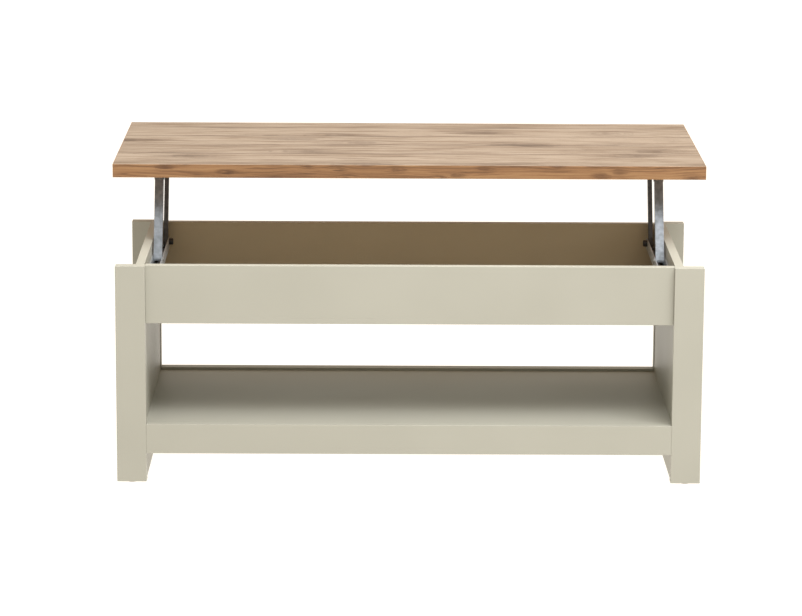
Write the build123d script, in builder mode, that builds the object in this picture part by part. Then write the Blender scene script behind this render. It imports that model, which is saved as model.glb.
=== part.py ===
from build123d import *
import os
from math import cos, radians, sin

# Lift-top coffee table. Four legs and two end panels carry a storage tray and a shelf. On each side a
# parallel-arm lift mechanism carries the top, which swings up and away from the front of the base.
# Millimetres. +X runs along the length, +Y from the front face to the back, +Z up. The origin is on the
# floor at the centre of the base. The table is modelled with its top raised.

os.makedirs("parts", exist_ok=True)

# Base
BASE_LENGTH = 1072
BASE_WIDTH = 464
BASE_HEIGHT = 405
GLIDE_HEIGHT = 1.5
BOARD = 16
LEG_WIDTH = 54
LEG_THICKNESS = 22
LEG_PROUD = 1.5  # the legs stand this far inwards of the end panels
UPPER_RAIL_HEIGHT = 108
UPPER_RAIL_RECESS = 10
LOWER_RAIL_Z = 55
LOWER_RAIL_HEIGHT = 55
BACK_RAIL_RISE = 5  # the lower back rail stands this far above the shelf
TRAY_Z = 299
EDGE = 0.8  # softened board edges

# Top
TOP_LENGTH = 1108
TOP_WIDTH = 504
TOP_THICKNESS = 25
EDGE_BAND = 1
BAND_JOINT = 0.02  # hairline between two bands at a corner
CLOSED_GAP = 2  # between the legs and the closed top

# Lift mechanism, with distances across the table measured from its centre plane
ARM_LENGTH = 160  # pivot to pivot
LEAN = 25  # degrees past upright when raised
CLOSED_DIP = 83  # degrees short of upright when closed
PIVOT_DROP = 16  # from the top's underside to the upper pivots
NEAR_PIVOT_Y = 6
FAR_PIVOT_Y = 180
SHEET = 1.5
BRACKET_SHEET = 2
BRACKET_WIDTH = 21
BRACKET_LENGTH = 374
BRACKET_MID_Y = 17
BRACKET_Z = 355.5
BRACKET_HEIGHT = 22.5
BRACKET_CORNER = 3
BRACKET_SLOT = (40, 8)  # oval cut-outs in its floor
SIDE_GAP = 0.5
NEAR_ARM_WIDTH = 16
FAR_ARM_WIDTH = 8
ARM_HALF_DEPTH = 8
EAR_RADIUS = 5.5
EAR_LENGTH = 24
PIN_RADIUS = 3
RUNNING_FIT = 0.05
OPEN_PIVOT_FIT = 0.3
HEAD_RADIUS = 5
COLLAR_RADIUS = 4.5
HEAD_HEIGHT = 1.25
HEAD_GAP = 0.15
FAR_ARM_TAIL = 5.5  # how far the rounded lower end is carried on past the pivot
LEVER = 9.5  # spring lever on the far arm, from its lower pivot
SMALL_PIN_RADIUS = 2.5
HOOK_Y = 30
HOOK_Z = 364
SPRING_RADIUS = 4
SPRING_WIRE = 1.6

# Fixings
DOWEL_RADIUS = 4
DOWEL_LENGTH = 30
CAM_RADIUS = 7.5
CAM_DEPTH = 12
CAM_SETBACK = 34
BOLT_HOLE_RADIUS = 3.5
BOLT_END = 2  # the bolt stops this far short of the middle of its cam lock
SCREW_HEAD_RADIUS = 3.5
SCREW_SHANK_RADIUS = 1.75
SCREW_IN_PANEL = 11
ACCESS_RADIUS = 4.5  # holes in the inner wall that a screwdriver passes through
ACCESS_RISE = 2
CROSS_REACH = 2  # cross recess in a screw head, from its centre
CROSS_LINE = 0.5  # half the width of a recess line
CAM_CROSS_REACH = 5
CAM_CROSS_LINE = 0.6
CAM_CROSS_DEPTH = 1.5
CAM_FLOOR = 3.5  # solid metal under the slot of a cam lock
CAM_SLOT_HALF = 4
CLEARANCE = 0.1

# Derived sizes
LEG_IN_X = BASE_LENGTH / 2 - LEG_WIDTH
PANEL_IN_X = LEG_IN_X + LEG_PROUD
PANEL_MID_X = PANEL_IN_X + BOARD / 2
LEG_MID_X = BASE_LENGTH / 2 - LEG_WIDTH / 2
LEG_IN_Y = BASE_WIDTH / 2 - LEG_THICKNESS
LEG_MID_Y = BASE_WIDTH / 2 - LEG_THICKNESS / 2
UPPER_RAIL_MID_Y = BASE_WIDTH / 2 - UPPER_RAIL_RECESS - BOARD / 2
TRAY_DEPTH = 2 * UPPER_RAIL_MID_Y - BOARD
SHELF_TOP = LOWER_RAIL_Z + LOWER_RAIL_HEIGHT
SHELF_MID_Z = SHELF_TOP - BOARD / 2
TRAY_MID_Z = TRAY_Z + BOARD / 2
CLOSED_Z = BASE_HEIGHT + CLOSED_GAP
PIVOT_Z = CLOSED_Z - PIVOT_DROP - ARM_LENGTH * cos(radians(CLOSED_DIP))
LEAN_Y = ARM_LENGTH * sin(radians(LEAN))
RAISED_Z = PIVOT_Z + ARM_LENGTH * cos(radians(LEAN)) + PIVOT_DROP
TOP_MID_Y = LEAN_Y + ARM_LENGTH * sin(radians(CLOSED_DIP))
BRACKET_IN_X = PANEL_IN_X - BRACKET_WIDTH
ARM_OUT_X = PANEL_IN_X - BRACKET_SHEET - SIDE_GAP
NEAR_ARM_IN_X = ARM_OUT_X - NEAR_ARM_WIDTH
FAR_ARM_OUT_X = NEAR_ARM_IN_X + FAR_ARM_WIDTH
OUTER_EAR_X = ARM_OUT_X - SHEET - SIDE_GAP - SHEET
INNER_EAR_X = NEAR_ARM_IN_X + SHEET + SIDE_GAP
SPRING_X = (PANEL_IN_X - BRACKET_SHEET + FAR_ARM_OUT_X) / 2
LEVER_Y = FAR_PIVOT_Y - LEVER * sin(radians(LEAN))
LEVER_Z = PIVOT_Z - LEVER * cos(radians(LEAN))

SIDES = {"left": -1, "right": 1}
UPPER_DOWEL_Z = [BASE_HEIGHT - UPPER_RAIL_HEIGHT / 2 + dz for dz in (-28, 28)]
LOWER_DOWEL_Z = [LOWER_RAIL_Z + LOWER_RAIL_HEIGHT / 2 + dz for dz in (-14, 14)]
UPPER_DOWEL_Y = UPPER_RAIL_MID_Y + 2
PANEL_DOWEL_Z = [133, 243, 351]
SHELF_DOWEL_Y = [-150, 150]
SHELF_DOWEL_IN_PANEL = 10
CAM_Y = [-95, 95]
BRACKET_SLOT_Y = [-120, -30, 120]
BRACKET_SCREW_Y = [-160, -60, 90, 196]
BRACKET_SCREW_Z = 364
TOP_SCREW_Y = [45, 90, 135]
GLIDE_RADIUS = 9
GLIDE_STEM = 12
GLIDE_EDGE = 0.6


def finish_node(builder, label):
    """Names a finished piece and writes it to its own file."""
    builder.part.label = label
    export_step(builder.part, f"parts/{label}.step")


def slab_start(sign, near, far):
    """Lowest X of a slab between two distances from the centre plane, on one side of the table."""
    return near if sign > 0 else -far


def block(x, y, z, mode=Mode.ADD):
    """A box given by its two limits on each axis."""
    with BuildSketch(Plane.XY.offset(z[0])) as profile:
        with Locations(((x[0] + x[1]) / 2, (y[0] + y[1]) / 2)):
            Rectangle(x[1] - x[0], y[1] - y[0])
    extrude(profile.sketch, amount=z[1] - z[0], mode=mode)


def cross_recess(x, y, z, reach, half_line):
    """A cross-shaped recess seen from above or below, between two heights."""
    block((x - reach, x + reach), (y - half_line, y + half_line), z, Mode.SUBTRACT)
    block((x - half_line, x + half_line), (y - reach, y + reach), z, Mode.SUBTRACT)


def soften(part, size=EDGE):
    """Rounds every long edge of a plain board."""
    fillet(part.edges(), radius=size)


def rods_x(points, start, length, radius, mode=Mode.ADD):
    """Round rods or holes along +X from start, at a list of (Y, Z) points."""
    with BuildSketch(Plane.YZ.offset(start)) as profile:
        with Locations(*points):
            Circle(radius)
    extrude(profile.sketch, amount=length, mode=mode)


def rods_y(points, start, length, radius, mode=Mode.ADD):
    """Round rods or holes along +Y from start, at a list of (X, Z) points."""
    with BuildSketch(Plane.XZ.offset(-start)) as profile:
        with Locations(*points):
            Circle(radius)
    extrude(profile.sketch, amount=-length, mode=mode)


def rods_z(points, start, length, radius, mode=Mode.ADD):
    """Round rods or holes along +Z from start, at a list of (X, Y) points."""
    with BuildSketch(Plane.XY.offset(start)) as profile:
        with Locations(*points):
            Circle(radius)
    extrude(profile.sketch, amount=length, mode=mode)


# Legs: flat boards whose wide face looks to the front or the back
for side, sx in SIDES.items():
    for end, sy in {"front": -1, "back": 1}.items():
        with BuildPart() as leg:
            block(
                sorted((sx * LEG_IN_X, sx * BASE_LENGTH / 2)),
                sorted((sy * LEG_IN_Y, sy * BASE_WIDTH / 2)),
                (GLIDE_HEIGHT, BASE_HEIGHT),
            )
            soften(leg)
            depth = DOWEL_LENGTH / 2
            dowel_start = slab_start(sx, LEG_IN_X, LEG_IN_X + depth)
            upper = [(sy * UPPER_DOWEL_Y, z) for z in UPPER_DOWEL_Z]
            lower = [(sy * LEG_MID_Y, z) for z in LOWER_DOWEL_Z]
            rods_x(upper + lower, dowel_start, depth, DOWEL_RADIUS, Mode.SUBTRACT)
            panel_points = [(sx * PANEL_MID_X, z) for z in PANEL_DOWEL_Z]
            panel_start = slab_start(sy, LEG_IN_Y, LEG_IN_Y + depth)
            rods_y(panel_points, panel_start, depth, DOWEL_RADIUS, Mode.SUBTRACT)
            stem_point = [(sx * LEG_MID_X, sy * LEG_MID_Y)]
            rods_z(stem_point, GLIDE_HEIGHT, GLIDE_STEM, SMALL_PIN_RADIUS, Mode.SUBTRACT)
        finish_node(leg, f"{end}_{side}_leg")

# End panels, between the front and back legs and down to the floor
for side, sx in SIDES.items():
    with BuildPart() as panel:
        block(
            sorted((sx * PANEL_IN_X, sx * (PANEL_IN_X + BOARD))),
            (-LEG_IN_Y, LEG_IN_Y),
            (GLIDE_HEIGHT, BASE_HEIGHT),
        )
        soften(panel)
        depth = DOWEL_LENGTH / 2
        panel_points = [(sx * PANEL_MID_X, z) for z in PANEL_DOWEL_Z]
        rods_y(panel_points, -LEG_IN_Y, depth, DOWEL_RADIUS, Mode.SUBTRACT)
        rods_y(panel_points, LEG_IN_Y - depth, depth, DOWEL_RADIUS, Mode.SUBTRACT)
        board_z = (SHELF_MID_Z, TRAY_MID_Z)
        dowel_points = [(y, z) for z in board_z for y in SHELF_DOWEL_Y]
        dowel_start = slab_start(sx, PANEL_IN_X, PANEL_IN_X + SHELF_DOWEL_IN_PANEL)
        rods_x(dowel_points, dowel_start, SHELF_DOWEL_IN_PANEL, DOWEL_RADIUS, Mode.SUBTRACT)
        bolt_points = [(y, z) for z in board_z for y in CAM_Y]
        rods_x(bolt_points, dowel_start, SHELF_DOWEL_IN_PANEL, PIN_RADIUS, Mode.SUBTRACT)
        screw_points = [(y, BRACKET_SCREW_Z) for y in BRACKET_SCREW_Y]
        screw_start = slab_start(sx, PANEL_IN_X, PANEL_IN_X + SCREW_IN_PANEL + 1)
        rods_x(screw_points, screw_start, SCREW_IN_PANEL + 1, SCREW_SHANK_RADIUS, Mode.SUBTRACT)
    finish_node(panel, f"{side}_end_panel")

# Upper rails, the front and back walls of the storage tray
for end, sy in {"front": -1, "back": 1}.items():
    with BuildPart() as upper_rail:
        block(
            (-LEG_IN_X, LEG_IN_X),
            (sy * UPPER_RAIL_MID_Y - BOARD / 2, sy * UPPER_RAIL_MID_Y + BOARD / 2),
            (BASE_HEIGHT - UPPER_RAIL_HEIGHT, BASE_HEIGHT),
        )
        soften(upper_rail)
        points = [(sy * UPPER_DOWEL_Y, z) for z in UPPER_DOWEL_Z]
        rods_x(points, -LEG_IN_X, DOWEL_LENGTH / 2, DOWEL_RADIUS, Mode.SUBTRACT)
        rods_x(points, LEG_IN_X, -DOWEL_LENGTH / 2, DOWEL_RADIUS, Mode.SUBTRACT)
    finish_node(upper_rail, f"upper_{end}_rail")

# Lower rails, flush with the legs; the back one stands a little above the shelf
for end, sy in {"front": -1, "back": 1}.items():
    with BuildPart() as lower_rail:
        top_z = SHELF_TOP if end == "front" else SHELF_TOP + BACK_RAIL_RISE
        block(
            (-LEG_IN_X, LEG_IN_X),
            sorted((sy * LEG_IN_Y, sy * BASE_WIDTH / 2)),
            (LOWER_RAIL_Z, top_z),
        )
        soften(lower_rail)
        points = [(sy * LEG_MID_Y, z) for z in LOWER_DOWEL_Z]
        rods_x(points, -LEG_IN_X, DOWEL_LENGTH / 2, DOWEL_RADIUS, Mode.SUBTRACT)
        rods_x(points, LEG_IN_X, -DOWEL_LENGTH / 2, DOWEL_RADIUS, Mode.SUBTRACT)
    finish_node(lower_rail, f"lower_{end}_rail")

# Shelf and tray bottom, held between the end panels by dowels and by cam locks in their undersides
dowel_in_board = DOWEL_LENGTH - SHELF_DOWEL_IN_PANEL
for label, half_y, z0 in (
    ("shelf", LEG_IN_Y, SHELF_TOP - BOARD),
    ("tray_bottom", TRAY_DEPTH / 2, TRAY_Z),
):
    with BuildPart() as shelf:
        block((-PANEL_IN_X, PANEL_IN_X), (-half_y, half_y), (z0, z0 + BOARD))
        for sx in SIDES.values():
            dowel_points = [(y, z0 + BOARD / 2) for y in SHELF_DOWEL_Y]
            dowel_start = slab_start(sx, PANEL_IN_X - dowel_in_board, PANEL_IN_X)
            rods_x(dowel_points, dowel_start, dowel_in_board, DOWEL_RADIUS, Mode.SUBTRACT)
            bolt_points = [(y, z0 + BOARD / 2) for y in CAM_Y]
            bolt_start = slab_start(sx, PANEL_IN_X - CAM_SETBACK, PANEL_IN_X)
            rods_x(bolt_points, bolt_start, CAM_SETBACK, BOLT_HOLE_RADIUS, Mode.SUBTRACT)
            cam_points = [(sx * (PANEL_IN_X - CAM_SETBACK), y) for y in CAM_Y]
            rods_z(cam_points, z0, CAM_DEPTH, CAM_RADIUS + CLEARANCE, Mode.SUBTRACT)
    finish_node(shelf, label)

# Wooden dowels between rails and legs
with BuildPart() as rail_dowels:
    for sy in (-1, 1):
        points = [(sy * UPPER_DOWEL_Y, z) for z in UPPER_DOWEL_Z]
        points += [(sy * LEG_MID_Y, z) for z in LOWER_DOWEL_Z]
        for x in (-LEG_IN_X, LEG_IN_X):
            rods_x(points, x - DOWEL_LENGTH / 2, DOWEL_LENGTH, DOWEL_RADIUS - RUNNING_FIT)
finish_node(rail_dowels, "rail_dowels")

# Wooden dowels between end panels and legs
with BuildPart() as panel_dowels:
    for sy in (-1, 1):
        points = [(sx * PANEL_MID_X, z) for sx in (-1, 1) for z in PANEL_DOWEL_Z]
        start = sy * LEG_IN_Y - DOWEL_LENGTH / 2
        rods_y(points, start, DOWEL_LENGTH, DOWEL_RADIUS - RUNNING_FIT)
finish_node(panel_dowels, "panel_dowels")

# Wooden dowels between end panels and the two boards they carry
with BuildPart() as shelf_dowels:
    points = [(y, z) for z in (SHELF_MID_Z, TRAY_MID_Z) for y in SHELF_DOWEL_Y]
    for sx in (-1, 1):
        start = slab_start(sx, PANEL_IN_X - dowel_in_board, PANEL_IN_X + SHELF_DOWEL_IN_PANEL)
        rods_x(points, start, DOWEL_LENGTH, DOWEL_RADIUS - RUNNING_FIT)
finish_node(shelf_dowels, "shelf_dowels")

# Cam locks: round housings in the undersides, each with a slot that draws its bolt in
with BuildPart() as cam_locks:
    for z0 in (SHELF_TOP - BOARD, TRAY_Z):
        for sx in (-1, 1):
            cam_x = sx * (PANEL_IN_X - CAM_SETBACK)
            points = [(cam_x, y) for y in CAM_Y]
            rods_z(points, z0, CAM_DEPTH, CAM_RADIUS)
            for y in CAM_Y:
                block(
                    sorted((cam_x, cam_x + sx * 2 * CAM_RADIUS)),
                    (y - CAM_SLOT_HALF, y + CAM_SLOT_HALF),
                    (z0 + CAM_FLOOR, z0 + CAM_DEPTH),
                    Mode.SUBTRACT,
                )
                cross_recess(cam_x, y, (z0, z0 + CAM_CROSS_DEPTH), CAM_CROSS_REACH, CAM_CROSS_LINE)
finish_node(cam_locks, "cam_locks")

# Cam bolts: screwed into the end panels, with their heads inside the cam locks
with BuildPart() as cam_bolts:
    points = [(y, z) for z in (SHELF_MID_Z, TRAY_MID_Z) for y in CAM_Y]
    length = CAM_SETBACK - BOLT_END + SHELF_DOWEL_IN_PANEL
    for sx in (-1, 1):
        bolt_end = PANEL_IN_X - CAM_SETBACK + BOLT_END
        start = slab_start(sx, bolt_end, PANEL_IN_X + SHELF_DOWEL_IN_PANEL)
        rods_x(points, start, length, PIN_RADIUS - RUNNING_FIT)
finish_node(cam_bolts, "cam_bolts")

# Foot glides: a disc under each leg with a stem driven into it
with BuildPart() as foot_glides:
    points = [(sx * LEG_MID_X, sy * LEG_MID_Y) for sx in (-1, 1) for sy in (-1, 1)]
    rods_z(points, 0, GLIDE_HEIGHT, GLIDE_RADIUS)
    bottom_edges = foot_glides.edges().group_by(Axis.Z)[0]
    fillet(bottom_edges, radius=GLIDE_EDGE)
    rods_z(points, GLIDE_HEIGHT, GLIDE_STEM - CLEARANCE, SMALL_PIN_RADIUS - RUNNING_FIT)
finish_node(foot_glides, "foot_glides")

# Base brackets: U-channels screwed to the end panels, open upwards
bracket_y = (BRACKET_MID_Y - BRACKET_LENGTH / 2, BRACKET_MID_Y + BRACKET_LENGTH / 2)
bracket_top = BRACKET_Z + BRACKET_HEIGHT
for side, sx in SIDES.items():
    with BuildPart() as bracket:
        block(sorted((sx * PANEL_IN_X, sx * BRACKET_IN_X)), bracket_y, (BRACKET_Z, bracket_top))
        channel = (sx * (BRACKET_IN_X + BRACKET_SHEET), sx * (PANEL_IN_X - BRACKET_SHEET))
        fillet(bracket.edges().filter_by(Axis.X).group_by(Axis.Z)[-1], radius=BRACKET_CORNER)
        fold = bracket.edges().filter_by(Axis.Y).group_by(Axis.Z)[0].sort_by(Axis.X)
        fillet(fold, radius=BRACKET_SHEET)
        inside_z = (BRACKET_Z + BRACKET_SHEET, bracket_top)
        block(sorted(channel), bracket_y, inside_z, Mode.SUBTRACT)
        whole_width = slab_start(sx, BRACKET_IN_X, PANEL_IN_X)
        hole = PIN_RADIUS + RUNNING_FIT
        rods_x([(NEAR_PIVOT_Y, PIVOT_Z)], whole_width, BRACKET_WIDTH, hole, Mode.SUBTRACT)
        inner_start = slab_start(sx, BRACKET_IN_X, BRACKET_IN_X + BRACKET_SHEET)
        rods_x([(FAR_PIVOT_Y, PIVOT_Z)], inner_start, BRACKET_SHEET, hole, Mode.SUBTRACT)
        outer_start = slab_start(sx, PANEL_IN_X - BRACKET_SHEET, PANEL_IN_X)
        hook_hole = SMALL_PIN_RADIUS + RUNNING_FIT
        rods_x([(HOOK_Y, HOOK_Z)], outer_start, BRACKET_SHEET, hook_hole, Mode.SUBTRACT)
        for y in BRACKET_SCREW_Y:
            with BuildSketch(Plane.YZ.offset(sx * (PANEL_IN_X - BRACKET_SHEET))):
                with Locations((y, BRACKET_SCREW_Z)):
                    Circle(SCREW_HEAD_RADIUS + RUNNING_FIT)
            with BuildSketch(Plane.YZ.offset(sx * PANEL_IN_X)):
                with Locations((y, BRACKET_SCREW_Z)):
                    Circle(SCREW_SHANK_RADIUS + RUNNING_FIT)
            loft(mode=Mode.SUBTRACT)
        # Oval cut-outs in the floor of the channel, and an access hole for each screw in its inner wall
        with BuildSketch(Plane.XY.offset(BRACKET_Z)):
            with Locations(*[(sx * (BRACKET_IN_X + BRACKET_WIDTH / 2), y) for y in BRACKET_SLOT_Y]):
                SlotOverall(*BRACKET_SLOT, rotation=90)
        extrude(amount=BRACKET_SHEET, mode=Mode.SUBTRACT)
        access_points = [(y, BRACKET_SCREW_Z + ACCESS_RISE) for y in BRACKET_SCREW_Y]
        rods_x(access_points, inner_start, BRACKET_SHEET, ACCESS_RADIUS, Mode.SUBTRACT)
    finish_node(bracket, f"{side}_base_bracket")

# Countersunk screws that hold the base brackets to the end panels
with BuildPart() as bracket_screws:
    for sx in (-1, 1):
        for y in BRACKET_SCREW_Y:
            with BuildSketch(Plane.YZ.offset(sx * (PANEL_IN_X - BRACKET_SHEET))):
                with Locations((y, BRACKET_SCREW_Z)):
                    Circle(SCREW_HEAD_RADIUS)
            with BuildSketch(Plane.YZ.offset(sx * PANEL_IN_X)):
                with Locations((y, BRACKET_SCREW_Z)):
                    Circle(SCREW_SHANK_RADIUS - RUNNING_FIT)
            loft()
            shank_start = slab_start(sx, PANEL_IN_X, PANEL_IN_X + SCREW_IN_PANEL)
            point = [(y, BRACKET_SCREW_Z)]
            rods_x(point, shank_start, SCREW_IN_PANEL, SCREW_SHANK_RADIUS - RUNNING_FIT)
            recess_x = sorted((sx * (PANEL_IN_X - BRACKET_SHEET), sx * (PANEL_IN_X - BRACKET_SHEET / 2)))
            for reach_y, reach_z in ((CROSS_REACH, CROSS_LINE), (CROSS_LINE, CROSS_REACH)):
                recess_z = (BRACKET_SCREW_Z - reach_z, BRACKET_SCREW_Z + reach_z)
                block(recess_x, (y - reach_y, y + reach_y), recess_z, Mode.SUBTRACT)
finish_node(bracket_screws, "bracket_screws")


def arm_plane(x, pivot_y):
    """Plane across the table whose local Y runs up a raised arm and whose origin is its lower pivot."""
    lean = radians(LEAN)
    return Plane(origin=(x, pivot_y, PIVOT_Z), x_dir=(0, cos(lean), -sin(lean)), z_dir=(1, 0, 0))


def folded_arm(sign, pivot_y, width, tail):
    """A U-section arm: two side walls joined by a web on the front, with a rounded end at each pivot."""
    start = slab_start(sign, NEAR_ARM_IN_X, NEAR_ARM_IN_X + width)
    with BuildSketch(arm_plane(start, pivot_y)) as outline:
        with Locations((0, -tail), (0, ARM_LENGTH)):
            Circle(ARM_HALF_DEPTH)
        make_hull()
    extrude(outline.sketch, amount=width)
    hollow_start = slab_start(sign, NEAR_ARM_IN_X + SHEET, NEAR_ARM_IN_X + width - SHEET)
    with BuildSketch(arm_plane(hollow_start, pivot_y)) as hollow:
        with Locations((SHEET, ARM_LENGTH / 2)):
            Rectangle(2 * ARM_HALF_DEPTH, 2 * ARM_LENGTH)
    extrude(hollow.sketch, amount=width - 2 * SHEET, mode=Mode.SUBTRACT)


def arm_hole(sign, pivot_y, width, along, radius):
    """A hole through both side walls of an arm, at a distance along it from its lower pivot."""
    start = slab_start(sign, NEAR_ARM_IN_X, NEAR_ARM_IN_X + width)
    with BuildSketch(arm_plane(start, pivot_y)) as hole:
        with Locations((0, along)):
            Circle(radius)
    extrude(hole.sketch, amount=width, mode=Mode.SUBTRACT)


# Near arms: wide folded arms, each with a heel on its outer wall that stops it against the bracket
HEEL_REACH = 18
HEEL_ANGLE = 80  # degrees between the arm's own axis, carried on past the pivot, and the heel
HEEL_RADIUS = 3.5
for side, sx in SIDES.items():
    with BuildPart() as near_arm:
        folded_arm(sx, NEAR_PIVOT_Y, NEAR_ARM_WIDTH, 0)
        wall_start = slab_start(sx, ARM_OUT_X - SHEET, ARM_OUT_X)
        with BuildSketch(arm_plane(wall_start, NEAR_PIVOT_Y)):
            Circle(ARM_HALF_DEPTH)
            heel = radians(HEEL_ANGLE)
            with Locations((HEEL_REACH * sin(heel), -HEEL_REACH * cos(heel))):
                Circle(HEEL_RADIUS)
            make_hull()
        extrude(amount=SHEET)
        for along in (0, ARM_LENGTH):
            arm_hole(sx, NEAR_PIVOT_Y, NEAR_ARM_WIDTH, along, PIN_RADIUS + RUNNING_FIT)
    finish_node(near_arm, f"{side}_near_arm")

# Far arms: narrow folded arms, carried on past the lower pivot as levers for the springs
for side, sx in SIDES.items():
    with BuildPart() as far_arm:
        folded_arm(sx, FAR_PIVOT_Y, FAR_ARM_WIDTH, FAR_ARM_TAIL)
        arm_hole(sx, FAR_PIVOT_Y, FAR_ARM_WIDTH, 0, PIN_RADIUS + RUNNING_FIT)
        arm_hole(sx, FAR_PIVOT_Y, FAR_ARM_WIDTH, ARM_LENGTH, PIN_RADIUS + OPEN_PIVOT_FIT)
        arm_hole(sx, FAR_PIVOT_Y, FAR_ARM_WIDTH, -LEVER, SMALL_PIN_RADIUS + RUNNING_FIT)
    finish_node(far_arm, f"{side}_far_arm")

# Lower pivot rivets of the near arms, right across the channel
with BuildPart() as near_pivot_rivets:
    for sx in (-1, 1):
        point = [(NEAR_PIVOT_Y, PIVOT_Z)]
        pin_start = slab_start(sx, BRACKET_IN_X, PANEL_IN_X - CLEARANCE)
        rods_x(point, pin_start, BRACKET_WIDTH - CLEARANCE, PIN_RADIUS)
        head_start = slab_start(sx, BRACKET_IN_X - HEAD_HEIGHT, BRACKET_IN_X)
        rods_x(point, head_start, HEAD_HEIGHT, HEAD_RADIUS)
finish_node(near_pivot_rivets, "near_pivot_rivets")

# Lower pivot rivets of the far arms, held by the inner wall of the channel only
with BuildPart() as far_pivot_rivets:
    for sx in (-1, 1):
        point = [(FAR_PIVOT_Y, PIVOT_Z)]
        end_x = FAR_ARM_OUT_X + HEAD_GAP + HEAD_HEIGHT
        stem_start = slab_start(sx, BRACKET_IN_X - HEAD_HEIGHT, end_x)
        rods_x(point, stem_start, end_x - BRACKET_IN_X + HEAD_HEIGHT, PIN_RADIUS)
        head_start = slab_start(sx, BRACKET_IN_X - HEAD_HEIGHT, BRACKET_IN_X)
        rods_x(point, head_start, HEAD_HEIGHT, HEAD_RADIUS)
        collar_start = slab_start(sx, FAR_ARM_OUT_X + HEAD_GAP, end_x)
        rods_x(point, collar_start, HEAD_HEIGHT, COLLAR_RADIUS)
finish_node(far_pivot_rivets, "far_pivot_rivets")

# Black caps over the heads of the far arms' lower rivets
CAP_RADIUS = 6.25
CAP_HEIGHT = 8
CAP_ROUND = 2
with BuildPart() as pivot_caps:
    for sx in (-1, 1):
        point = [(FAR_PIVOT_Y, PIVOT_Z)]
        rods_x(point, slab_start(sx, BRACKET_IN_X - CAP_HEIGHT, BRACKET_IN_X), CAP_HEIGHT, CAP_RADIUS)
    ends = pivot_caps.faces().filter_by(Axis.X).sort_by(Axis.X)[1:3]
    fillet(ends.edges(), radius=CAP_ROUND)
    for sx in (-1, 1):
        point = [(FAR_PIVOT_Y, PIVOT_Z)]
        pocket = HEAD_HEIGHT + CLEARANCE
        pocket_start = slab_start(sx, BRACKET_IN_X - pocket, BRACKET_IN_X)
        rods_x(point, pocket_start, pocket, HEAD_RADIUS + RUNNING_FIT, Mode.SUBTRACT)
finish_node(pivot_caps, "pivot_caps")

# Fixed pins that hold the springs to the outer walls of the brackets
with BuildPart() as spring_hook_pins:
    for sx in (-1, 1):
        point = [(HOOK_Y, HOOK_Z)]
        inner_x = SPRING_X - SPRING_RADIUS
        outer_x = PANEL_IN_X - CLEARANCE
        start = slab_start(sx, inner_x, outer_x)
        rods_x(point, start, outer_x - inner_x, SMALL_PIN_RADIUS)
finish_node(spring_hook_pins, "spring_hook_pins")

# Pins in the far arms' levers, which the springs pull towards the front
with BuildPart() as spring_lever_pins:
    for sx in (-1, 1):
        point = [(LEVER_Y, LEVER_Z)]
        outer_x = SPRING_X + SPRING_RADIUS - SIDE_GAP
        start = slab_start(sx, NEAR_ARM_IN_X, outer_x)
        rods_x(point, start, outer_x - NEAR_ARM_IN_X, SMALL_PIN_RADIUS)
finish_node(spring_lever_pins, "spring_lever_pins")

# Lift springs: the closed outer shape of each coil, with a wire eye round the pin at each end
EYE_PLAY = 0.3
EYE_RADIUS = SMALL_PIN_RADIUS + EYE_PLAY + SPRING_WIRE / 2
EYE_TO_COIL = 9
for side, sx in SIDES.items():
    hook = Vector(sx * SPRING_X, HOOK_Y, HOOK_Z)
    lever_pin = Vector(sx * SPRING_X, LEVER_Y, LEVER_Z)
    pull = (lever_pin - hook).normalized()
    with BuildPart() as spring:
        coil_start = Plane(origin=hook + pull * EYE_TO_COIL, x_dir=(1, 0, 0), z_dir=pull)
        with BuildSketch(coil_start):
            Circle(SPRING_RADIUS)
        extrude(amount=(lever_pin - hook).length - 2 * EYE_TO_COIL)
        for centre, way in ((hook, 1), (lever_pin, -1)):
            eye_plane = Plane(origin=centre, x_dir=pull * way, z_dir=(1, 0, 0))
            with BuildSketch(Plane(origin=centre + pull * way * EYE_RADIUS, z_dir=eye_plane.y_dir)):
                Circle(SPRING_WIRE / 2)
            revolve(axis=Axis(centre, (1, 0, 0)), revolution_arc=360)
            stem = Plane(origin=centre + pull * way * EYE_RADIUS, x_dir=(1, 0, 0), z_dir=pull * way)
            with BuildSketch(stem):
                Circle(SPRING_WIRE / 2)
            extrude(amount=EYE_TO_COIL - EYE_RADIUS)
    finish_node(spring, f"{side}_lift_spring")

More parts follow.
